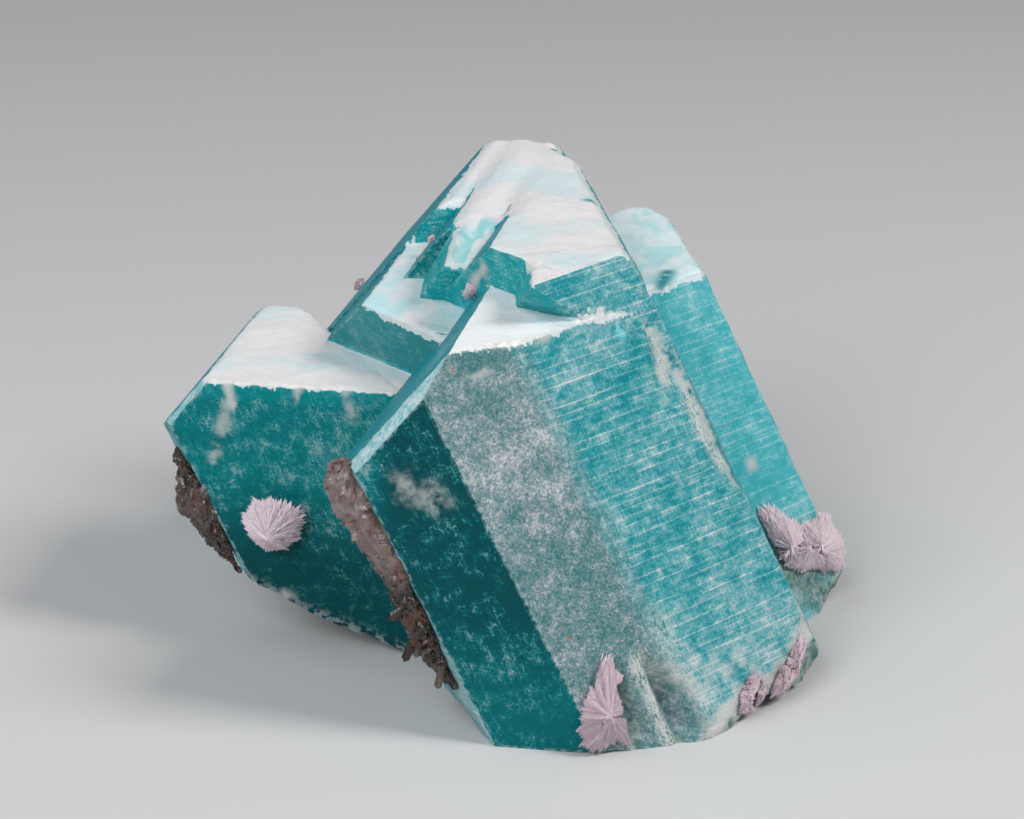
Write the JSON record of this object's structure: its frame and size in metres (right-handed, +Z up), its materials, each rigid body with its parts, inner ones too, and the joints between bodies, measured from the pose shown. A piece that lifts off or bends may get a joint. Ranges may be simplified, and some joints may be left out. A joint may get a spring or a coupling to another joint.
{
  "type": "rough amazonite specimen",
  "caption": "Cluster of blocky blue-green amazonite crystals with white caps, cleavelandite tufts and smoky quartz crust, resting on its broken base.",
  "frame": {"origin": "middle of the specimen's footprint, on the surface it rests on", "axes": "+X to the right along the crystals' a axis, +Y to the back along their b axis, +Z up along the normal of their white basal caps"},
  "size_m": [0.0998, 0.0958, 0.064],
  "materials": {
    "amazonite": "satin",
    "cleavelandite": "matte",
    "smoky_quartz": "gloss"
  },
  "bodies": {
    "root": {"amazonite_crystals": "amazonite", "cleavelandite_rosette": "cleavelandite", "cleavelandite_front_spray": "cleavelandite", "cleavelandite_right_spray": "cleavelandite", "cleavelandite_base_spray": "cleavelandite", "cleavelandite_corner_spray": "cleavelandite", "cleavelandite_notch_bit": "cleavelandite", "cleavelandite_knob_bit": "cleavelandite", "cleavelandite_flank_bit": "cleavelandite", "smoky_quartz_left_crust": "smoky_quartz", "smoky_quartz_front_crust": "smoky_quartz"}
  },
  "joints": []
}
